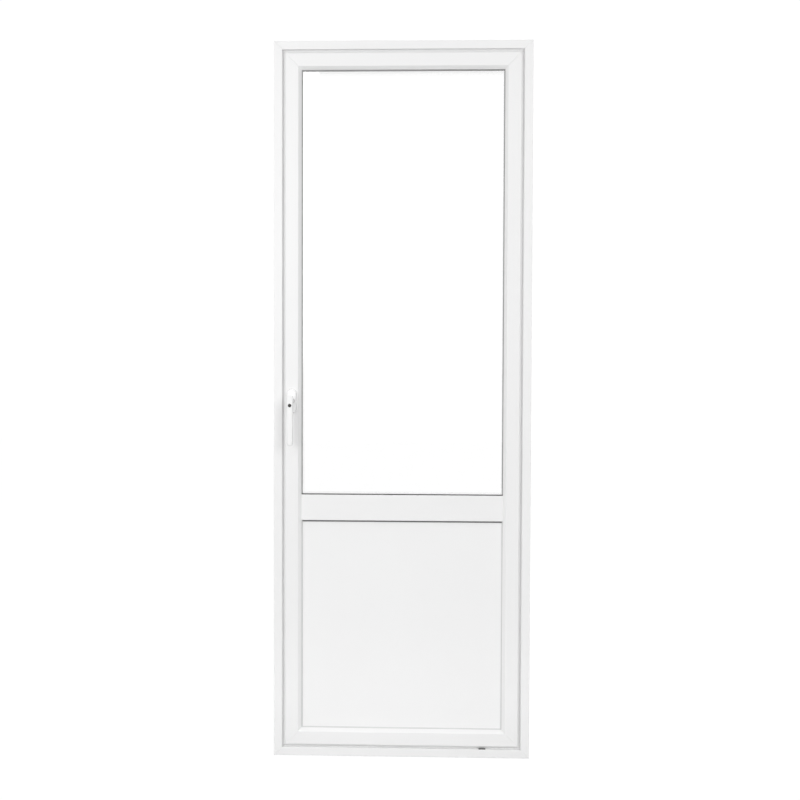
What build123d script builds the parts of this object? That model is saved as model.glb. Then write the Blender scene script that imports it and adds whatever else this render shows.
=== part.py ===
from build123d import *
import os
from math import sqrt

# White balcony door in its frame, seen from the room along +Y. All sizes in millimetres.
# The origin is the middle of the frame's lower face. -Y is the room, +Y is the balcony.
# The leaf opens outwards about hinges on its +X side, and the lever is on its -X side.

# Overall size
door_width = 750.0
door_height = 2088.0
frame_depth = 70.0

# Frame section: a lip towards the room and a thinner leg behind it, which makes the rebate
frame_lip = 24.5
frame_lip_depth = 5.0
frame_leg = 12.0
frame_edge_round = 1.0
frame_lip_round = 1.5

# Gap between the frame's lip and the leaf
side_gap = 5.0
top_gap = 6.5
bottom_gap = 5.0

# Leaf section: a body between the lips and a flange that overlaps them from outside
leaf_flange = 9.0
leaf_seal_gap = 5.0
leaf_cove = 4.0
leaf_edge_chamfer = 5.0
leaf_face = 41.5
glazing_chamfer = 9.0
glazing_lip = 12.5
glazing_cover = 22.0
flange_round = 2.0
leaf_edge_round = 1.5
bevel_round = 2.5
glazing_lip_round = 1.2

# Cross rail between the glass and the lower panel
transom_height = 733.0
transom_face = 75.0
transom_edge_round = 1.5

# Glass unit and lower panel, both held by outer beads
glass_thickness = 4.0
glass_space = 12.0
glazing_clearance = 3.0
gasket_depth = 4.0
gasket_reveal = 3.0
outer_gasket_depth = 3.5
outer_gasket_reveal = 1.5
gasket_bite = 8.0
gasket_nose = 1.4
spacer_width = 9.0
bead_reveal = 16.0
bead_slope = 10.0
bead_round = 2.0

# Weld seams where the bars meet: a shallow V along each mitre
weld_width = 1.8
weld_depth = 0.8

# Drain slots in the outer face of the sill
drain_count = 2
drain_width = 28.0
drain_height = 5.0
drain_depth = 4.0
drain_level = 7.0
drain_from_side = 150.0

# Seal on the frame's lip
seal_width = 4.0
seal_clearance = 0.3
seal_inset = 0.6

# Hinges
hinge_count = 3
hinge_first = 260.0
hinge_plate = 3.0
hinge_plate_height = 86.0
hinge_leaf_plate_width = 26.0
hinge_knuckle_radius = 7.0
hinge_knuckle_gap = 1.0
hinge_plate_clearance = 0.5
hinge_pin_radius = 3.0
hinge_pin_clearance = 0.05
hinge_pin_head = 2.5

# Lock: face plate and cams in the leaf's edge, strikers in the frame
plate_width = 16.0
plate_thickness = 3.0
plate_end_margin = 120.0
cam_radius = 5.0
cam_height = 2.5
lock_points = (330.0, 1044.0, 1760.0)
striker_height = 60.0
striker_width = 18.0
striker_thickness = 2.5

# Frame fixing holes through the legs of both jambs
fixing_count = 4
fixing_first = 219.0
fixing_spacing = 550.0
fixing_radius = 5.0

# Run-up block on the sill's lip, in the gap under the leaf
block_width = 20.0
block_height = 2.5
block_depth = 3.6
block_inset = 1.2
block_chamfer = 1.0
block_from_hinge_side = 137.0

# Handle
handle_height = 1046.0
rosette_width = 29.0
rosette_height = 72.0
rosette_depth = 11.0
rosette_draft = 8.0
rosette_chamfer = 1.5
lever_reach = 54.0
lever_thickness = 12.0
lever_width = 19.0
lever_tip_width = 17.0
lever_above = 17.5
lever_below = 129.0
neck_radius = 9.0
lever_round = 4.0
lever_back_chamfer = 1.5
spindle_side = 7.0
spindle_length = 34.0
spindle_clearance = 0.5
lever_seat_gap = 0.4
cylinder_radius = 5.0
cylinder_length = 9.0
cylinder_below = 12.0
cylinder_proud = 0.6

# Places that follow from the sizes above
room_face = -frame_depth / 2
half_width = door_width / 2
leaf_left = -half_width + frame_lip + side_gap
leaf_right = -leaf_left
leaf_bottom = frame_lip + bottom_gap
leaf_top = door_height - frame_lip - top_gap
flange_front = frame_lip_depth + leaf_seal_gap
glazing_edge = leaf_face + glazing_chamfer
rebate_floor = glazing_edge - glazing_cover
glass_front = glazing_lip + gasket_depth
unit_depth = 3 * glass_thickness + 2 * glass_space
glass_back = glass_front + unit_depth
bead_front = glass_back + outer_gasket_depth
bead_edge = rebate_floor + bead_reveal
pane_edge = rebate_floor + glazing_clearance
transom_half = transom_face / 2
transom_web = transom_half - glazing_cover
glass_bottom = transom_height + transom_half
panel_top = transom_height - transom_half
hinge_axis_x = half_width - (frame_leg + frame_lip + side_gap - leaf_flange) / 2
hinge_axis_depth = frame_depth + hinge_plate + hinge_plate_clearance + hinge_knuckle_radius
handle_x = leaf_left + (leaf_edge_chamfer + leaf_face) / 2
far = 200.0


def at_depth(depth):
    return room_face + depth


def slab(x_low, x_high, depth_low, depth_high, z_low, z_high):
    size = (x_high - x_low, depth_high - depth_low, z_high - z_low)
    middle = ((x_low + x_high) / 2, at_depth((depth_low + depth_high) / 2), (z_low + z_high) / 2)
    return Pos(*middle) * Box(*size)


# A bar of a rectangular frame. Its section is a list of points (inset, depth) or (inset, depth, radius),
# where the inset is measured inwards from that side of the rectangle. Its ends are cut to 45 degrees.
def mitred_bar(section, rectangle, side):
    left, right, bottom, top = rectangle
    across = {
        "left": lambda inset: (left + inset, bottom - far),
        "right": lambda inset: (right - inset, bottom - far),
        "bottom": lambda inset: (left - far, bottom + inset),
        "top": lambda inset: (left - far, top - inset),
    }[side]
    points = []
    for inset, depth, *_ in section:
        x, z = across(inset)
        points.append(Vector(x, at_depth(depth), z))
    if side in ("left", "right"):
        run, length = (0, 0, 1), top - bottom + 2 * far
    else:
        run, length = (1, 0, 0), right - left + 2 * far
    outline = make_face(Polyline(*points, close=True))
    for point, corner in zip(points, section):
        if len(corner) == 3:
            outline = fillet(outline.vertices().sort_by_distance(point)[0], corner[2])
    bar = extrude(outline, amount=length, dir=run)
    insets = [corner[0] for corner in section]
    reach = max(insets) + 1
    spread = 1 - min(0, min(insets))
    corners = {
        "left": ((left - spread, bottom - spread), (left + reach, bottom + reach),
                 (left + reach, top - reach), (left - spread, top + spread)),
        "right": ((right + spread, bottom - spread), (right - reach, bottom + reach),
                  (right - reach, top - reach), (right + spread, top + spread)),
        "bottom": ((left - spread, bottom - spread), (left + reach, bottom + reach),
                   (right - reach, bottom + reach), (right + spread, bottom - spread)),
        "top": ((left - spread, top + spread), (left + reach, top - reach),
                (right - reach, top - reach), (right + spread, top + spread)),
    }[side]
    wedge = make_face(Polyline(*[(x, room_face - far, z) for x, z in corners], close=True))
    return bar & extrude(wedge, amount=frame_depth + 2 * far, dir=(0, 1, 0))


# The four bars of a rectangle joined into one ring, such as a moulded gasket
def mitred_ring(section, rectangle):
    return sum([mitred_bar(section, rectangle, side) for side in ("right", "bottom", "top")],
               mitred_bar(section, rectangle, "left"))


# V-shaped cuts along the four mitres of a rectangle of bars, in the face at this depth. The face spans
# the insets from low to high, and inward is +1 where the bar lies behind it and -1 where it lies before.
def weld_seams(rectangle, low, high, depth, inward):
    left, right, bottom, top = rectangle
    seams = []
    corners = ((left, bottom, 1, 1), (right, bottom, -1, 1), (left, top, 1, -1), (right, top, -1, -1))
    for x, z, x_way, z_way in corners:
        start = Vector(x + low * x_way, at_depth(depth), z + low * z_way)
        along = Vector(x_way, 0, z_way).normalized()
        across = Vector(-z_way, 0, x_way).normalized() * (weld_width / 2)
        rise = Vector(0, inward, 0) * weld_depth
        mouth = [start + across * 2 - rise, start - across * 2 - rise, start + rise]
        cut = make_face(Polyline(*mouth, close=True))
        seams.append(extrude(cut, amount=(high - low) * sqrt(2), dir=along))
    return Compound(seams)


# A closed ring with a rectangular section, such as a spacer bar or a seal
def ring(rectangle, inset_low, inset_high, depth_low, depth_high):
    left, right, bottom, top = rectangle
    outer = slab(left + inset_low, right - inset_low, depth_low, depth_high,
                 bottom + inset_low, top - inset_low)
    inner = slab(left + inset_high, right - inset_high, depth_low - 1, depth_high + 1,
                 bottom + inset_high, top - inset_high)
    return outer - inner


frame_rectangle = (-half_width, half_width, 0.0, door_height)
leaf_rectangle = (leaf_left, leaf_right, leaf_bottom, leaf_top)
# The glass and panel openings, as rectangles whose inset is the same as the leaf's own
glass_rectangle = (leaf_left, leaf_right, glass_bottom - glazing_edge, leaf_top)
panel_rectangle = (leaf_left, leaf_right, leaf_bottom, panel_top + glazing_edge)

parts = {}


# Frame
frame_section = [
    (0, 0, frame_edge_round), (frame_lip, 0, frame_lip_round),
    (frame_lip, frame_lip_depth), (frame_leg, frame_lip_depth),
    (frame_leg, frame_depth, frame_edge_round), (0, frame_depth),
]
frame_seams = (weld_seams(frame_rectangle, 0, frame_lip, 0, 1)
               + weld_seams(frame_rectangle, 0, frame_leg, frame_depth, -1))
fixing_heights = [fixing_first + i * fixing_spacing for i in range(fixing_count)]
fixing_depth = (frame_lip_depth + frame_depth) / 2


def striker_pocket(height, grow=0.0):
    x_high = -half_width + frame_leg
    return slab(x_high - striker_thickness, x_high + grow, fixing_depth - striker_width / 2,
                fixing_depth + striker_width / 2, height - striker_height / 2, height + striker_height / 2)


def jamb(side):
    bar = mitred_bar(frame_section, frame_rectangle, side) - frame_seams
    sign = -1 if side == "left" else 1
    for height in fixing_heights:
        hole = Rot(0, 90, 0) * Cylinder(fixing_radius, 2 * frame_lip)
        bar -= Pos(sign * half_width, at_depth(fixing_depth), height) * hole
    return bar


parts["frame_jamb_left"] = jamb("left")
for height in lock_points:
    parts["frame_jamb_left"] -= striker_pocket(height, grow=1)
parts["frame_jamb_right"] = jamb("right")
parts["frame_head"] = mitred_bar(frame_section, frame_rectangle, "top") - frame_seams
parts["frame_sill"] = mitred_bar(frame_section, frame_rectangle, "bottom") - frame_seams
drain_reach = half_width - drain_from_side
for i in range(drain_count):
    x = -drain_reach + i * 2 * drain_reach / (drain_count - 1)
    outer_face = Plane(origin=(x, at_depth(frame_depth), drain_level), x_dir=(1, 0, 0), z_dir=(0, -1, 0))
    parts["frame_sill"] -= extrude(outer_face * SlotOverall(drain_width, drain_height), amount=drain_depth)
parts["strikers"] = Compound([striker_pocket(height) for height in lock_points])

seal_high = frame_lip - seal_inset
parts["frame_seal"] = ring(frame_rectangle, seal_high - seal_width, seal_high, frame_lip_depth,
                           flange_front - seal_clearance)

block_x = half_width - block_from_hinge_side
block = slab(block_x - block_width / 2, block_x + block_width / 2, block_inset, block_inset + block_depth,
             frame_lip, frame_lip + block_height)
parts["run_up_block"] = chamfer(block.faces().sort_by(Axis.Z)[-1].edges().filter_by(Axis.Y), block_chamfer)


# Leaf bars
leaf_section = [
    (leaf_edge_chamfer, 0, leaf_edge_round), (leaf_face, 0, bevel_round),
    (glazing_edge, glazing_chamfer, glazing_lip_round), (glazing_edge, glazing_lip),
    (rebate_floor, glazing_lip), (rebate_floor, frame_depth),
    (-leaf_flange, frame_depth, flange_round), (-leaf_flange, flange_front),
    (0, flange_front, leaf_cove), (0, leaf_edge_chamfer, leaf_edge_round),
]
leaf_seams = (weld_seams(leaf_rectangle, leaf_edge_chamfer, leaf_face, 0, 1)
              + weld_seams(leaf_rectangle, -leaf_flange, rebate_floor, frame_depth, -1))
flange_edge = leaf_left - leaf_flange
plate_depth = (flange_front + frame_depth) / 2
plate_bottom = leaf_bottom + plate_end_margin
plate_top = leaf_top - plate_end_margin
face_plate = slab(flange_edge, flange_edge + plate_thickness, plate_depth - plate_width / 2,
                  plate_depth + plate_width / 2, plate_bottom, plate_top)
spindle_swing = spindle_side / sqrt(2)
spindle_place = Pos(handle_x, at_depth(spindle_length / 2), handle_height) * Rot(90, 0, 0)
spindle_cut = spindle_place * Cylinder(spindle_swing + spindle_clearance, spindle_length)

parts["sash_stile_lock"] = mitred_bar(leaf_section, leaf_rectangle, "left") - leaf_seams
parts["sash_stile_lock"] -= face_plate + spindle_cut
parts["sash_stile_hinge"] = mitred_bar(leaf_section, leaf_rectangle, "right") - leaf_seams
parts["sash_top_rail"] = mitred_bar(leaf_section, leaf_rectangle, "top") - leaf_seams
parts["sash_bottom_rail"] = mitred_bar(leaf_section, leaf_rectangle, "bottom") - leaf_seams
parts["lock_faceplate"] = face_plate


def lock_cam(height):
    place = Pos(flange_edge - cam_height / 2, at_depth(plate_depth), height)
    return place * Rot(0, 90, 0) * Cylinder(cam_radius, cam_height)


parts["lock_cams"] = Compound([lock_cam(height) for height in lock_points])

# The transom's face lies at the foot of the stiles' bevel, so that the bevel runs past its ends
face_left = leaf_left + glazing_edge
web_left = leaf_left + rebate_floor
transom_front, transom_back = at_depth(glazing_chamfer), at_depth(glazing_lip)
transom_corners = [
    (face_left, transom_front, panel_top), (face_left, transom_front, glass_bottom),
    (face_left, transom_back, glass_bottom), (face_left, transom_back, panel_top),
]
transom_outline = make_face(Polyline(*transom_corners, close=True))
transom_outline = fillet(transom_outline.vertices().group_by(Axis.Y)[0], transom_edge_round)
transom_plate = extrude(transom_outline, amount=-2 * face_left, dir=(1, 0, 0))
transom_core = slab(web_left, -web_left, glazing_lip, frame_depth, transom_height - transom_web,
                    transom_height + transom_web)
parts["transom"] = transom_plate + transom_core


# Glazing
def pane(rectangle, depth_low, depth_high):
    left, right, bottom, top = rectangle
    return slab(left + pane_edge, right - pane_edge, depth_low, depth_high,
                bottom + pane_edge, top - pane_edge)


pitch = glass_thickness + glass_space
for i, name in enumerate(("inner", "middle", "outer")):
    front = glass_front + i * pitch
    parts["glass_pane_" + name] = pane(glass_rectangle, front, front + glass_thickness)
for i, name in enumerate(("inner", "outer")):
    front = glass_front + glass_thickness + i * pitch
    parts["glass_spacer_" + name] = ring(glass_rectangle, pane_edge + 1, pane_edge + 1 + spacer_width,
                                         front, front + glass_space)
parts["lower_panel"] = pane(panel_rectangle, glass_front, glass_back)

bead_section = [
    (rebate_floor, bead_front), (bead_edge, bead_front), (bead_edge, frame_depth - bead_slope, bead_round),
    (rebate_floor + bead_reveal - bead_slope, frame_depth, bead_round), (rebate_floor, frame_depth),
]
# The inner gasket's nose slopes from the lip down to the glass
gasket_section = [
    (glazing_edge - gasket_bite, glazing_lip), (glazing_edge, glazing_lip),
    (glazing_edge + gasket_reveal, glass_front - gasket_nose), (glazing_edge + gasket_reveal, glass_front),
    (glazing_edge - gasket_bite, glass_front),
]
for kind, rectangle in (("glass", glass_rectangle), ("panel", panel_rectangle)):
    parts[kind + "_gasket_inner"] = mitred_ring(gasket_section, rectangle)
    parts[kind + "_gasket_outer"] = ring(rectangle, bead_edge - gasket_bite, bead_edge + outer_gasket_reveal,
                                         glass_back, bead_front)
    for side in ("left", "right", "bottom", "top"):
        parts[kind + "_bead_" + side] = mitred_bar(bead_section, rectangle, side)


# Hinges: two frame knuckles and one leaf knuckle on each pin
knuckle_height = (hinge_plate_height - 2 * hinge_knuckle_gap) / 3
knuckle_pitch = knuckle_height + hinge_knuckle_gap
last_hinge = door_height - hinge_first
hinge_heights = [hinge_first + i * (last_hinge - hinge_first) / (hinge_count - 1) for i in range(hinge_count)]
hinge_names = ("lower", "middle", "upper")


# toward is +1 for the frame's half, which lies on the +X side of the axis, and -1 for the leaf's half
def knuckle(height, toward):
    radius = hinge_knuckle_radius
    x_far = hinge_axis_x + toward * radius
    low, high = height - knuckle_height / 2, height + knuckle_height / 2
    barrel = Pos(hinge_axis_x, at_depth(hinge_axis_depth), height) * Cylinder(radius, knuckle_height)
    web = slab(min(hinge_axis_x, x_far), max(hinge_axis_x, x_far), frame_depth, hinge_axis_depth, low, high)
    bore = Pos(hinge_axis_x, at_depth(hinge_axis_depth), height)
    return barrel + web - bore * Cylinder(hinge_pin_radius + hinge_pin_clearance, 2 * knuckle_height)


def hinge_plate_at(x_low, x_high, height):
    half = hinge_plate_height / 2
    return slab(x_low, x_high, frame_depth, frame_depth + hinge_plate, height - half, height + half)


for name, height in zip(hinge_names, hinge_heights):
    frame_half = hinge_plate_at(half_width - frame_leg, half_width, height)
    for step in (-1, 1):
        frame_half += knuckle(height + step * knuckle_pitch, 1)
    parts["hinge_frame_leaf_" + name] = frame_half
    leaf_edge = leaf_right + leaf_flange - flange_round
    leaf_half = hinge_plate_at(leaf_edge - hinge_leaf_plate_width, leaf_edge, height) + knuckle(height, -1)
    parts["hinge_sash_leaf_" + name] = leaf_half
    pin = Cylinder(hinge_pin_radius, hinge_plate_height)
    head = Cylinder(hinge_knuckle_radius - 1, hinge_pin_head)
    for step in (-1, 1):
        pin += Pos(0, 0, step * (hinge_plate_height + hinge_pin_head) / 2) * head
    parts["hinge_pin_" + name] = Pos(hinge_axis_x, at_depth(hinge_axis_depth), height) * pin


# Handle
def handle_plane(depth):
    return Plane(origin=(handle_x, at_depth(depth), handle_height), x_dir=(1, 0, 0), z_dir=(0, -1, 0))


rosette_outline = handle_plane(0) * SlotOverall(rosette_height, rosette_width, rotation=90)
rosette = extrude(rosette_outline, amount=rosette_depth, taper=rosette_draft)
rosette = chamfer(rosette.faces().sort_by(Axis.Y)[0].edges(), rosette_chamfer)
rosette -= extrude(handle_plane(1) * Circle(neck_radius + lever_seat_gap), amount=rosette_depth + 2)
parts["handle_rosette"] = rosette

# The lever: a hub over the neck that runs down into a grip with a round tip
grip_front = -lever_reach
grip_back = grip_front + lever_thickness
half_top, half_tip = lever_width / 2, lever_tip_width / 2
top_z, tip_z = lever_above - half_top, half_tip - lever_below
lever_outline = make_face([
    Line((half_top, top_z, 0), (half_tip, tip_z, 0)),
    ThreePointArc((half_tip, tip_z, 0), (0, -lever_below, 0), (-half_tip, tip_z, 0)),
    Line((-half_tip, tip_z, 0), (-half_top, top_z, 0)),
    ThreePointArc((-half_top, top_z, 0), (0, lever_above, 0), (half_top, top_z, 0)),
])
grip = extrude(handle_plane(grip_back) * lever_outline, amount=lever_thickness)
grip = fillet(grip.faces().sort_by(Axis.Y)[0].edges(), lever_round)
grip = chamfer(grip.faces().sort_by(Axis.Y)[-1].edges(), lever_back_chamfer)
neck = extrude(handle_plane(-lever_seat_gap) * Circle(neck_radius), amount=1 - grip_back - lever_seat_gap)
spindle = extrude(handle_plane(spindle_length - 1) * Rectangle(spindle_side, spindle_side),
                  amount=spindle_length)
cylinder_place = handle_plane(grip_front + cylinder_length) * Pos(0, -cylinder_below)
cylinder_outline = cylinder_place * Circle(cylinder_radius)
parts["handle_lever"] = grip + neck + spindle - extrude(cylinder_outline, amount=2 * cylinder_length)
parts["lock_cylinder"] = extrude(cylinder_outline, amount=cylinder_length + cylinder_proud)

os.makedirs("parts", exist_ok=True)
for name, solid in parts.items():
    export_step(solid, "parts/" + name + ".step")
print(len(parts), "nodes")
print("hinge axis", round(hinge_axis_x, 3), round(at_depth(hinge_axis_depth), 3))
print("handle axis", round(handle_x, 3), round(handle_height, 3))
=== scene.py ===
# White balcony door in its frame: the looks around the solid model
import math
import bmesh
import bpy
from mathutils import Matrix, Vector


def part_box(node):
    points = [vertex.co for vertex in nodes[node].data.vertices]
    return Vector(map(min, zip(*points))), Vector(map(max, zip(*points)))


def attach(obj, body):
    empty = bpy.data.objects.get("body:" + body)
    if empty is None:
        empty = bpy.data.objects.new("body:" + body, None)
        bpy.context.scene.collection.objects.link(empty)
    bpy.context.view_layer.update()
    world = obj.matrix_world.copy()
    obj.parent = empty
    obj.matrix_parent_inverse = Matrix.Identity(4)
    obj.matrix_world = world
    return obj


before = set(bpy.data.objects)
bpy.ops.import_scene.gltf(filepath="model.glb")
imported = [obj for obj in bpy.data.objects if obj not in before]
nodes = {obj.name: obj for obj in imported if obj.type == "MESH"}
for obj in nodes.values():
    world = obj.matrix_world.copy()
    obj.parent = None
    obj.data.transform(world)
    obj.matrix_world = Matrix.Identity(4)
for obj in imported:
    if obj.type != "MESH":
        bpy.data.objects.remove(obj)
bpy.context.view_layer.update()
print("frame loaded with", len(nodes), "pieces")

scene = bpy.context.scene
scene.view_settings.view_transform = "Standard"


# Camera, standing in the room a little to the right of the door's middle
cameraLook = {
    "place": (0.1178, -3.6364, 1.1709),
    "yaw": -1.97,   # degrees, as are pitch and roll
    "pitch": -1.926,
    "roll": 0.193,
    "lens": 55.71,
    "sensor": 36.0,
    "clipStart": 0.05,
    "clipEnd": 60.0,
}


def addCamera(look):
    data = bpy.data.cameras.new("viewCamera")
    data.lens = look["lens"]
    data.sensor_width = look["sensor"]
    data.clip_start = look["clipStart"]
    data.clip_end = look["clipEnd"]
    camera = bpy.data.objects.new("viewCamera", data)
    scene.collection.objects.link(camera)
    turn = Matrix.Rotation(math.radians(-look["yaw"]), 4, "Z")
    tilt = Matrix.Rotation(math.radians(90 + look["pitch"]), 4, "X")
    roll = Matrix.Rotation(math.radians(look["roll"]), 4, "Z")
    camera.matrix_world = Matrix.Translation(look["place"]) @ turn @ tilt @ roll
    scene.camera = camera


addCamera(cameraLook)
print("camera placed")


# Small helpers for node trees
def newNode(tree, kind, **values):
    node = tree.nodes.new(kind)
    for name, value in values.items():
        setattr(node, name, value)
    return node


def newMaterial(name):
    material = bpy.data.materials.new(name)
    material.use_nodes = True
    tree = material.node_tree
    tree.nodes.clear()
    output = newNode(tree, "ShaderNodeOutputMaterial")
    return material, tree, output


def newGroup(name, inputs, outputs):
    group = bpy.data.node_groups.new(name, "ShaderNodeTree")
    for label, kind, value in inputs:
        socket = group.interface.new_socket(label, in_out="INPUT", socket_type="NodeSocket" + kind)
        if value is not None:
            socket.default_value = value
    for label, kind in outputs:
        group.interface.new_socket(label, in_out="OUTPUT", socket_type="NodeSocket" + kind)
    return group, newNode(group, "NodeGroupInput"), newNode(group, "NodeGroupOutput")


# Light: pale surroundings for what the camera, the gloss and the glass see, and a dimmer grey for the rest
worldLook = {
    "ambientLow": 0.24, "ambientHigh": 0.78,   # strength towards the ground and towards the ceiling
    "riseFrom": -0.2, "riseTo": 0.9,
    "seenStrength": 1.03,
}
lampLooks = {
    "left": {"place": (-1.5, -3.4, 1.85), "size": (1.8, 2.2), "power": 40.3, "aim": (0.0, 0.0, 1.2)},
    "right": {"place": (1.9, -3.2, 2.25), "size": (1.0, 2.0), "power": 34.9, "aim": (0.0, 0.0, 1.2)},
    "window": {"place": (-3.0, -2.6, 2.2), "size": (0.6, 2.0), "power": 12.2, "aim": (0.0, 0.0, 1.2)},
    "back": {"place": (0.9, 3.2, 4.0), "size": (2.0, 1.2), "power": 75.0, "aim": (0.0, 0.0, 1.2)},
    "low": {"place": (-0.06, -0.6, 0.03), "size": (1.0, 0.05), "power": 0.52, "aim": (-0.05, 0.0, 0.05)},
}
floorLook = {
    "colour": 0.5,
    "seenShare": 0.9,   # share of the floor that shows white whatever falls on it
    "seenStrength": 1.08,
    "reach": 14.0,
    "drop": 0.0005,
}


def addSeenMask(tree):
    path = newNode(tree, "ShaderNodeLightPath")
    first = newNode(tree, "ShaderNodeMath", operation="MAXIMUM")
    second = newNode(tree, "ShaderNodeMath", operation="MAXIMUM")
    tree.links.new(path.outputs["Is Camera Ray"], first.inputs[0])
    tree.links.new(path.outputs["Is Glossy Ray"], first.inputs[1])
    tree.links.new(first.outputs[0], second.inputs[0])
    tree.links.new(path.outputs["Is Transmission Ray"], second.inputs[1])
    return second.outputs[0]


def addWorld(look):
    world = bpy.data.worlds.new("studioWorld")
    scene.world = world
    world.use_nodes = True
    tree = world.node_tree
    tree.nodes.clear()
    output = newNode(tree, "ShaderNodeOutputWorld")
    mix = newNode(tree, "ShaderNodeMixShader")
    dim = newNode(tree, "ShaderNodeBackground")
    white = newNode(tree, "ShaderNodeBackground")
    dim.inputs["Color"].default_value = (1, 1, 1, 1)
    direction = newNode(tree, "ShaderNodeTexCoord")
    split = newNode(tree, "ShaderNodeSeparateXYZ")
    rise = newNode(tree, "ShaderNodeMapRange")   # brighter towards the ceiling
    rise.inputs["From Min"].default_value = look["riseFrom"]
    rise.inputs["From Max"].default_value = look["riseTo"]
    rise.inputs["To Min"].default_value = look["ambientLow"]
    rise.inputs["To Max"].default_value = look["ambientHigh"]
    tree.links.new(direction.outputs["Generated"], split.inputs[0])
    tree.links.new(split.outputs["Z"], rise.inputs["Value"])
    tree.links.new(rise.outputs["Result"], dim.inputs["Strength"])
    white.inputs["Color"].default_value = (1, 1, 1, 1)
    white.inputs["Strength"].default_value = look["seenStrength"]
    tree.links.new(addSeenMask(tree), mix.inputs[0])
    tree.links.new(dim.outputs[0], mix.inputs[1])
    tree.links.new(white.outputs[0], mix.inputs[2])
    tree.links.new(mix.outputs[0], output.inputs["Surface"])


def addAreaLight(name, look):
    data = bpy.data.lights.new(name, "AREA")
    data.shape = "RECTANGLE"
    data.size, data.size_y = look["size"]
    data.energy = look["power"]
    light = bpy.data.objects.new(name, data)
    scene.collection.objects.link(light)
    light.location = look["place"]
    direction = Vector(look["aim"]) - Vector(look["place"])
    light.rotation_euler = direction.to_track_quat("-Z", "Y").to_euler()


def addFloor(look):
    mesh = bpy.data.meshes.new("studioFloor")
    reach = look["reach"]
    mesh.from_pydata([(-reach, -reach, 0), (reach, -reach, 0), (reach, reach, 0), (-reach, reach, 0)],
                     [], [(0, 1, 2, 3)])
    floor = bpy.data.objects.new("studioFloor", mesh)
    scene.collection.objects.link(floor)
    floor.location.z = -look["drop"]
    material, tree, output = newMaterial("paleFloor")
    diffuse = newNode(tree, "ShaderNodeBsdfDiffuse")
    diffuse.inputs["Color"].default_value = (*[look["colour"]] * 3, 1)
    glow = newNode(tree, "ShaderNodeEmission")
    glow.inputs["Strength"].default_value = look["seenStrength"]
    share = newNode(tree, "ShaderNodeMath", operation="MULTIPLY")
    share.inputs[1].default_value = look["seenShare"]
    mix = newNode(tree, "ShaderNodeMixShader")
    tree.links.new(addSeenMask(tree), share.inputs[0])
    tree.links.new(share.outputs[0], mix.inputs[0])
    tree.links.new(diffuse.outputs[0], mix.inputs[1])
    tree.links.new(glow.outputs[0], mix.inputs[2])
    tree.links.new(mix.outputs[0], output.inputs["Surface"])
    mesh.materials.append(material)


addWorld(worldLook)
for side, lampLook in lampLooks.items():
    addAreaLight(side + "SoftLight", lampLook)
addFloor(floorLook)
print("light and floor placed")


# Extruded plastic: faint draw lines along the bar, fine grain and a slight drift in tone
drawnLook = {"lineDetail": 3.0, "grainDetail": 2.0, "driftDetail": 1.0, "lineShare": 0.5}


def buildDrawnSurface(look):
    group, start, end = newGroup(
        "drawnSurface",
        [("Stretch", "Vector", (1.0, 1.0, 1.0)), ("Line Scale", "Float", 900.0),
         ("Grain Scale", "Float", 2600.0), ("Drift Scale", "Float", 3.0)],
        [("Height", "Float"), ("Drift", "Float"), ("Grain", "Float")])
    coordinate = newNode(group, "ShaderNodeTexCoord")
    stretched = newNode(group, "ShaderNodeVectorMath", operation="MULTIPLY")
    group.links.new(coordinate.outputs["Object"], stretched.inputs[0])
    group.links.new(start.outputs["Stretch"], stretched.inputs[1])

    def addNoise(detail, vector, scale):
        noise = newNode(group, "ShaderNodeTexNoise")
        noise.inputs["Detail"].default_value = detail
        group.links.new(vector, noise.inputs["Vector"])
        group.links.new(start.outputs[scale], noise.inputs["Scale"])
        return noise.outputs["Fac"]

    lines = addNoise(look["lineDetail"], stretched.outputs[0], "Line Scale")
    grain = addNoise(look["grainDetail"], coordinate.outputs["Object"], "Grain Scale")
    drift = addNoise(look["driftDetail"], coordinate.outputs["Object"], "Drift Scale")
    share = newNode(group, "ShaderNodeMath", operation="MULTIPLY")
    share.inputs[1].default_value = look["lineShare"]
    total = newNode(group, "ShaderNodeMath", operation="ADD")
    group.links.new(lines, share.inputs[0])
    group.links.new(share.outputs[0], total.inputs[0])
    group.links.new(grain, total.inputs[1])
    group.links.new(total.outputs[0], end.inputs["Height"])
    group.links.new(drift, end.inputs["Drift"])
    group.links.new(grain, end.inputs["Grain"])
    return group


drawnSurface = buildDrawnSurface(drawnLook)


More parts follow.
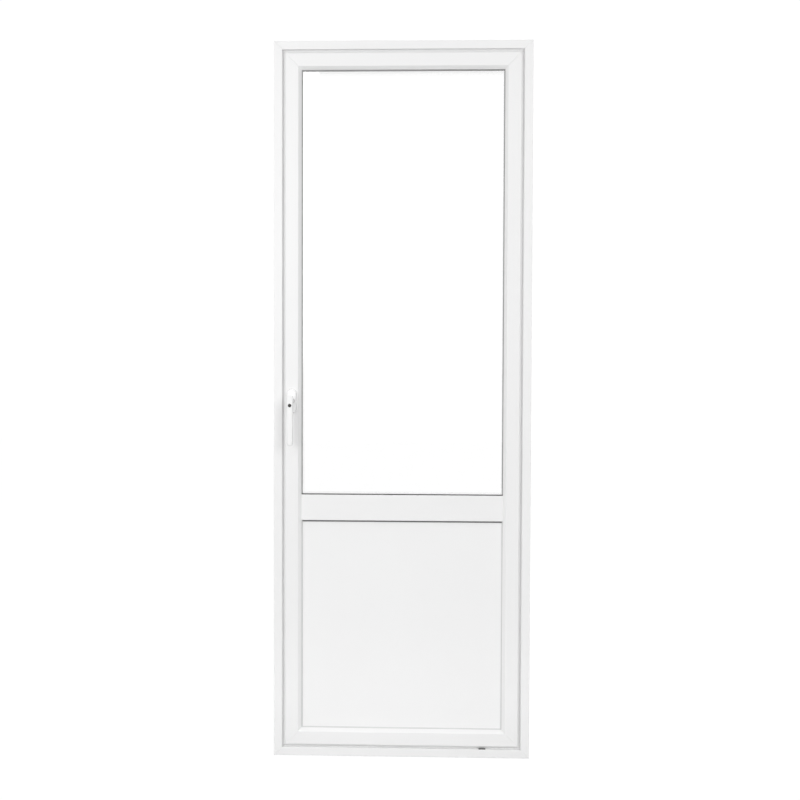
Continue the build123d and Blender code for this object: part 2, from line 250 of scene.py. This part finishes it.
def surfaceMaterial(name, look, stretch=(1.0, 1.0, 1.0)):
    material, tree, output = newMaterial(name)
    shader = newNode(tree, "ShaderNodeBsdfPrincipled")
    surface = newNode(tree, "ShaderNodeGroup", node_tree=drawnSurface)
    surface.inputs["Stretch"].default_value = stretch
    surface.inputs["Line Scale"].default_value = look["lineScale"]
    surface.inputs["Grain Scale"].default_value = look["grainScale"]
    surface.inputs["Drift Scale"].default_value = look["driftScale"]
    tone = newNode(tree, "ShaderNodeMix", data_type="RGBA")
    tone.inputs["A"].default_value = (*look["colour"], 1)
    tone.inputs["B"].default_value = (*look["driftColour"], 1)
    tree.links.new(surface.outputs["Drift"], tone.inputs["Factor"])
    tree.links.new(tone.outputs["Result"], shader.inputs["Base Color"])
    rough = newNode(tree, "ShaderNodeMapRange")
    rough.inputs["To Min"].default_value = look["roughness"] - look["roughSpread"]
    rough.inputs["To Max"].default_value = look["roughness"] + look["roughSpread"]
    tree.links.new(surface.outputs["Grain"], rough.inputs["Value"])
    tree.links.new(rough.outputs["Result"], shader.inputs["Roughness"])
    soft = newNode(tree, "ShaderNodeBevel", samples=4)
    soft.inputs["Radius"].default_value = look["softEdge"]
    bump = newNode(tree, "ShaderNodeBump")
    bump.inputs["Strength"].default_value = look["bump"]
    bump.inputs["Distance"].default_value = look["bumpDepth"]
    tree.links.new(surface.outputs["Height"], bump.inputs["Height"])
    tree.links.new(soft.outputs["Normal"], bump.inputs["Normal"])
    tree.links.new(bump.outputs["Normal"], shader.inputs["Normal"])
    shader.inputs["Metallic"].default_value = look.get("metal", 0.0)
    shader.inputs["Specular IOR Level"].default_value = look.get("specular", 0.5)
    shader.inputs["IOR"].default_value = look.get("ior", 1.5)
    shader.inputs["Sheen Weight"].default_value = look.get("sheen", 0.0)
    tree.links.new(shader.outputs[0], output.inputs["Surface"])
    return material


plasticLook = {
    "colour": (0.875, 0.875, 0.875), "driftColour": (0.855, 0.855, 0.855),
    "roughness": 0.34, "roughSpread": 0.05, "bump": 0.25, "bumpDepth": 0.00004, "softEdge": 0.0006,
    "lineScale": 420.0, "grainScale": 1500.0, "driftScale": 2.5, "ior": 1.53,
}
panelLook = dict(plasticLook, colour=(0.885, 0.885, 0.885), driftColour=(0.868, 0.868, 0.868), roughness=0.38)
handleLook = dict(plasticLook, colour=(0.885, 0.885, 0.885), driftColour=(0.87, 0.87, 0.87), roughness=0.24,
                  grainScale=900.0, bump=0.15)
# The rosette is a lit copy of the handle coat: painted light makes it whiter than the lever
rosetteLitLook = dict(handleLook, colour=(0.96, 0.96, 0.96), driftColour=(0.95, 0.95, 0.95))
hingeLook = dict(plasticLook, colour=(0.87, 0.87, 0.87), roughness=0.3, grainScale=1100.0, bump=0.3)
gasketLook = {
    "colour": (0.39, 0.39, 0.39), "driftColour": (0.35, 0.35, 0.35),
    "roughness": 0.75, "roughSpread": 0.08, "bump": 0.5, "bumpDepth": 0.00006, "softEdge": 0.0007,
    "lineScale": 500.0, "grainScale": 2400.0, "driftScale": 8.0, "specular": 0.3, "sheen": 0.05,
}
# Colour of the painted shadow strip under the transom
transomShadowLook = dict(gasketLook, colour=(0.16, 0.16, 0.162), driftColour=(0.13, 0.13, 0.132))
paleGasketLook = dict(gasketLook, colour=(0.70, 0.70, 0.70), driftColour=(0.66, 0.66, 0.66))
sealLook = dict(gasketLook, colour=(0.78, 0.78, 0.78), driftColour=(0.75, 0.75, 0.75))
# Dark plastic of the cylinder and run-up block, also used as painted shade in the lock's slots
darkLook = dict(gasketLook, colour=(0.03, 0.03, 0.03), driftColour=(0.045, 0.045, 0.045), roughness=0.5)
# Colour of the painted shade in the key slot
keySlotShadeLook = dict(darkLook, colour=(0.08, 0.06, 0.045), driftColour=(0.05, 0.04, 0.03), roughness=0.35)
steelLook = {
    "colour": (0.46, 0.46, 0.45), "driftColour": (0.37, 0.37, 0.37), "metal": 1.0,
    "roughness": 0.33, "roughSpread": 0.1, "bump": 0.3, "bumpDepth": 0.00003, "softEdge": 0.0003,
    "lineScale": 900.0, "grainScale": 1300.0, "driftScale": 160.0,
}
spacerLook = dict(steelLook, colour=(0.72, 0.72, 0.72), driftColour=(0.66, 0.66, 0.66), roughness=0.42)

upright = (1.0, 1.0, 0.004)
level = (0.004, 1.0, 1.0)
finishes = {
    "plasticUpright": surfaceMaterial("whitePlasticUpright", plasticLook, upright),
    "plasticLevel": surfaceMaterial("whitePlasticLevel", plasticLook, level),
    "panel": surfaceMaterial("whitePanelSheet", panelLook, upright),
    "handle": surfaceMaterial("whiteHandleCoat", handleLook),
    "rosette": surfaceMaterial("whiteRosetteCoatPaintedLight", rosetteLitLook),
    "hinge": surfaceMaterial("whiteHingeCoat", hingeLook),
    "gasket": surfaceMaterial("greyGlazingRubberShadedBelow", gasketLook),
    "transomShadow": surfaceMaterial("paintedTransomShadow", transomShadowLook),
    "paleGasket": surfaceMaterial("palePanelRubber", paleGasketLook),
    "seal": surfaceMaterial("greyFrameSeal", sealLook),
    "dark": surfaceMaterial("darkCylinderPlasticAndSlotShade", darkLook),
    "keySlot": surfaceMaterial("paintedKeySlotShade", keySlotShadeLook),
    "steel": surfaceMaterial("galvanisedSteel", steelLook, upright),
    "spacer": surfaceMaterial("mattSpacerBar", spacerLook),
}


glassLook = {"roughness": 0.0, "ior": 1.5}


def glassMaterial(look):
    material, tree, output = newMaterial("clearFloatGlass")
    shader = newNode(tree, "ShaderNodeBsdfPrincipled")
    shader.inputs["Base Color"].default_value = (1, 1, 1, 1)
    shader.inputs["Roughness"].default_value = look["roughness"]
    shader.inputs["IOR"].default_value = look["ior"]
    shader.inputs["Transmission Weight"].default_value = 1.0
    clear = newNode(tree, "ShaderNodeBsdfTransparent")
    path = newNode(tree, "ShaderNodeLightPath")
    passing = newNode(tree, "ShaderNodeMath", operation="MAXIMUM")
    tree.links.new(path.outputs["Is Shadow Ray"], passing.inputs[0])
    tree.links.new(path.outputs["Is Diffuse Ray"], passing.inputs[1])
    mix = newNode(tree, "ShaderNodeMixShader")
    tree.links.new(passing.outputs[0], mix.inputs[0])
    tree.links.new(shader.outputs[0], mix.inputs[1])
    tree.links.new(clear.outputs[0], mix.inputs[2])
    tree.links.new(mix.outputs[0], output.inputs["Surface"])
    return material


finishes["glass"] = glassMaterial(glassLook)


# The lower run of the glass rubber is painted darker than the rest: painted shade standing in for the
# shadowed gap along the glass's lower edge
def paintShadeBelow(material, look):
    tree = material.node_tree
    shader = next(node for node in tree.nodes if node.type == "BSDF_PRINCIPLED")
    plain = shader.inputs["Base Color"].links[0].from_socket
    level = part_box("transom")[1][2] + look["above"]
    coordinate = newNode(tree, "ShaderNodeTexCoord")
    split = newNode(tree, "ShaderNodeSeparateXYZ")
    step = newNode(tree, "ShaderNodeMapRange")
    step.inputs["From Min"].default_value = level + look["soft"]
    step.inputs["From Max"].default_value = level - look["soft"]
    tone = newNode(tree, "ShaderNodeMix", data_type="RGBA")
    tone.inputs["B"].default_value = (*look["colour"], 1)
    tree.links.new(coordinate.outputs["Object"], split.inputs[0])
    tree.links.new(split.outputs["Z"], step.inputs["Value"])
    tree.links.new(step.outputs["Result"], tone.inputs["Factor"])
    tree.links.new(plain, tone.inputs["A"])
    tree.links.new(tone.outputs["Result"], shader.inputs["Base Color"])


# Colour and height of the painted shade on the lower run of the glass rubber
lowerRubberShadeLook = {"above": 0.0036, "soft": 0.0006, "colour": (0.075, 0.075, 0.075)}
paintShadeBelow(finishes["gasket"], lowerRubberShadeLook)


def dressNode(name, finish):
    if not nodes[name].material_slots:
        nodes[name].data.materials.append(None)
    for slot in nodes[name].material_slots:
        slot.material = finishes[finish]


nodeFinish = {}
for name in nodes:
    if name in ("frame_head", "frame_sill", "sash_top_rail", "sash_bottom_rail", "transom"):
        nodeFinish[name] = "plasticLevel"
    elif "bead" in name:
        nodeFinish[name] = "plasticLevel" if name.endswith(("top", "bottom")) else "plasticUpright"
    elif name.startswith(("frame_jamb", "sash_stile")):
        nodeFinish[name] = "plasticUpright"
    elif "gasket" in name:
        nodeFinish[name] = "gasket" if name.startswith("glass") else "paleGasket"
    elif name.startswith("glass_pane"):
        nodeFinish[name] = "glass"
    elif name.startswith("glass_spacer"):
        nodeFinish[name] = "spacer"
    elif name.startswith("hinge_pin"):
        nodeFinish[name] = "steel"
    elif name.startswith("hinge"):
        nodeFinish[name] = "hinge"
    elif name.startswith("handle"):
        nodeFinish[name] = "handle"
nodeFinish.update({
    "handle_rosette": "rosette", "lower_panel": "panel", "frame_seal": "seal", "strikers": "steel",
    "lock_faceplate": "steel", "lock_cams": "steel", "run_up_block": "dark", "lock_cylinder": "dark",
})
for name, finish in nodeFinish.items():
    dressNode(name, finish)
print("finishes on", len(nodeFinish), "solid pieces")


# Screws: a raised countersunk head with a cross recess
screwLook = {
    "radius": 0.0031, "height": 0.0009, "rim": 0.00035,
    "armLength": 0.0019, "armWidth": 0.00055, "recess": 0.00072, "sides": 24,
    "firstTurn": 0.4, "turnStep": 1.1,   # radians, so that no two crosses stand alike
}


def addScrewHead(mesh, place, normal, look, turn):
    pose = Matrix.Translation(place) @ Vector(normal).to_track_quat("Z", "Y").to_matrix().to_4x4()
    pose = pose @ Matrix.Rotation(turn, 4, "Z")

    def loop(points):
        return [mesh.verts.new(pose @ Vector(point)) for point in points]

    def outline(verts):
        return [mesh.edges.new((verts[i - 1], verts[i])) for i in range(len(verts))]

    def circle(radius, height):
        angles = [2 * math.pi * i / look["sides"] for i in range(look["sides"])]
        return [(radius * math.cos(a), radius * math.sin(a), height) for a in angles]

    def cross(height):
        far, near = look["armLength"], look["armWidth"]
        quarter = [(far, -near), (far, near), (near, near)]
        points = []
        for i in range(4):
            cosine, sine = math.cos(math.pi / 2 * i), math.sin(math.pi / 2 * i)
            for x, y in quarter:
                points.append((x * cosine - y * sine, x * sine + y * cosine, height))
        return points

    def wall(first, second):
        for i in range(len(first)):
            mesh.faces.new((first[i - 1], first[i], second[i], second[i - 1]))

    radius, top = look["radius"], look["height"]
    base = loop(circle(radius, 0.0))
    rim = loop(circle(radius, top - look["rim"]))
    crown = loop(circle(radius - 2 * look["rim"], top))
    mouth = loop(cross(top))
    pit = loop(cross(top - look["recess"]))
    bmesh.ops.triangle_fill(mesh, edges=outline(crown) + outline(mouth), use_beauty=True)
    wall(base, rim)
    wall(rim, crown)
    wall(mouth, pit)
    mesh.faces.new(base)
    mesh.faces.new(pit)


def finishPiece(mesh, name, body, finish, smooth=35):
    bmesh.ops.recalc_face_normals(mesh, faces=mesh.faces)
    data = bpy.data.meshes.new(name)
    mesh.to_mesh(data)
    mesh.free()
    piece = bpy.data.objects.new(name, data)
    scene.collection.objects.link(piece)
    data.materials.append(finishes[finish])
    data.shade_smooth()
    data.set_sharp_from_angle(angle=math.radians(smooth))
    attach(piece, body)
    return piece


def addScrews(name, spots, normal, body, finish, look=screwLook):
    mesh = bmesh.new()
    for i, spot in enumerate(spots):
        addScrewHead(mesh, spot, normal, look, look["firstTurn"] + look["turnStep"] * i)
    finishPiece(mesh, name, body, finish)


hingeScrewLook = {
    "plate": 0.003,
    "frameFromEdge": 0.0045, "frameRise": 0.032,
    "leafColumns": (0.0065, 0.0185), "leafRises": (0.032, 0.014),
    "hinges": ("lower", "middle", "upper"),
}


def hingeScrewSpots(look):
    frameSpots, leafSpots = [], []
    for name in look["hinges"]:
        low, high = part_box("hinge_frame_leaf_" + name)
        middle = (low[2] + high[2]) / 2
        for rise in (-look["frameRise"], 0.0, look["frameRise"]):
            frameSpots.append((high[0] - look["frameFromEdge"], low[1] + look["plate"], middle + rise))
        low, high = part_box("hinge_sash_leaf_" + name)
        middle = (low[2] + high[2]) / 2
        for column, rise in zip(look["leafColumns"], look["leafRises"]):
            for side in (-1, 1):
                leafSpots.append((low[0] + column, low[1] + look["plate"], middle + side * rise))
    return frameSpots, leafSpots


frameSpots, leafSpots = hingeScrewSpots(hingeScrewLook)
addScrews("hinge_frame_screws", frameSpots, (0, 1, 0), "frame", "hinge")
addScrews("hinge_leaf_screws", leafSpots, (0, 1, 0), "leaf", "hinge")
print("hinge screws placed")


# Lock edge: screws along the face plate, thin dark sheets of painted shade for the slots that the cams slide
# in, and the strikers' screws
lockLook = {
    "screwCount": 9, "endMargin": 0.018, "camClear": 0.045,
    "slotLength": 0.034, "slotWidth": 0.0115, "slotThickness": 0.00025,
    "belowRosette": 0.002,   # the middle cam, from the middle of the rosette
    "strikerRise": 0.0225, "strikerSlotLength": 0.026, "strikerSlotWidth": 0.0065,
}


def addObround(mesh, centre, normal, length, width, thickness, steps=10):
    out = Vector(normal)
    up = Vector((0, 0, 1))
    side = up.cross(out)
    radius = width / 2
    points = []
    for end in (1, -1):
        for i in range(steps + 1):
            angle = math.pi * i / steps
            across, rise = radius * math.cos(angle), radius * math.sin(angle)
            points.append(side * across * end + up * (end * (length / 2 - radius) + end * rise))
    middle = Vector(centre)
    base = [mesh.verts.new(middle + point) for point in points]
    top = [mesh.verts.new(middle + point + out * thickness) for point in points]
    for i in range(len(points)):
        mesh.faces.new((base[i - 1], base[i], top[i], top[i - 1]))
    mesh.faces.new(top)
    mesh.faces.new(list(reversed(base)))


def addLockEdge(look):
    low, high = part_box("lock_faceplate")
    camLow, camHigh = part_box("lock_cams")
    middle = (low[1] + high[1]) / 2
    radius = (camHigh[1] - camLow[1]) / 2
    strikerLow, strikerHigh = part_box("strikers")
    half = (strikerHigh[1] - strikerLow[1]) / 2
    rosetteLow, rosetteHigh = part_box("handle_rosette")
    lockMiddle = (rosetteLow[2] + rosetteHigh[2]) / 2 - look["belowRosette"]
    camHeights = [camLow[2] + radius, lockMiddle, camHigh[2] - radius]
    first, last = low[2] + look["endMargin"], high[2] - look["endMargin"]
    spots = []
    for i in range(look["screwCount"]):
        height = first + (last - first) * i / (look["screwCount"] - 1)
        for cam in camHeights:
            if abs(height - cam) < look["camClear"]:
                height = cam + math.copysign(look["camClear"], height - cam)
        spots.append((low[0], middle, height))
    addScrews("face_plate_screws", spots, (-1, 0, 0), "leaf", "steel")
    slots = bmesh.new()
    for cam in camHeights:
        addObround(slots, (low[0], middle, cam), (-1, 0, 0), look["slotLength"], look["slotWidth"],
                   look["slotThickness"])
    finishPiece(slots, "cam_slot_shades", "leaf", "dark")
    spots = [(strikerHigh[0], strikerLow[1] + half, cam + side * look["strikerRise"])
             for cam in camHeights for side in (-1, 1)]
    addScrews("striker_screws", spots, (1, 0, 0), "frame", "steel")
    # Dark sheets on the strikers: painted shade in the slots that the cams hook into
    catches = bmesh.new()
    for cam in camHeights:
        addObround(catches, (strikerHigh[0], strikerLow[1] + half, cam), (1, 0, 0), look["strikerSlotLength"],
                   look["strikerSlotWidth"], look["slotThickness"])
    finishPiece(catches, "striker_slot_shades", "frame", "dark")


addLockEdge(lockLook)
print("lock edge dressed")


# Painted shadow under the transom: a dark strip along the panel's upper edge, standing in for the transom's
# shadow on the panel
transomShadowStripLook = {"drop": 0.0014, "height": 0.003, "nose": 0.0012, "sideGap": 0.011}


def addTransomShadowStrip(look):
    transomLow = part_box("transom")[0]
    rubberLow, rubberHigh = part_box("panel_gasket_inner")
    top, front, back = transomLow[2] - look["drop"], rubberLow[1], rubberHigh[1]
    bottom = top - look["height"]
    section = [(back, top), (front, top), (front, bottom + look["nose"]), (front + look["nose"], bottom),
               (back, bottom)]
    reach = rubberHigh[0] - look["sideGap"]
    mesh = bmesh.new()
    rings = [[mesh.verts.new((x, y, z)) for y, z in section] for x in (-reach, reach)]
    for i in range(len(section)):
        mesh.faces.new((rings[0][i - 1], rings[0][i], rings[1][i], rings[1][i - 1]))
    for ring in rings:
        mesh.faces.new(ring)
    finishPiece(mesh, "panel_top_shadow_strip", "leaf", "transomShadow")


addTransomShadowStrip(transomShadowStripLook)
print("panel top shadow strip placed")


# Key slot in the face of the cylinder: a thin dark sheet of painted shade standing in for the keyway's
# shadowed hollow
keyLook = {"length": 0.0056, "width": 0.0012, "thickness": 0.00012}


def addKeySlot(look):
    low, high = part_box("lock_cylinder")
    centre = ((low[0] + high[0]) / 2, low[1], (low[2] + high[2]) / 2)
    mesh = bmesh.new()
    addObround(mesh, centre, (0, -1, 0), look["length"], look["width"], look["thickness"])
    finishPiece(mesh, "key_slot_shade", "handle", "keySlot")


addKeySlot(keyLook)
print("key slot placed")
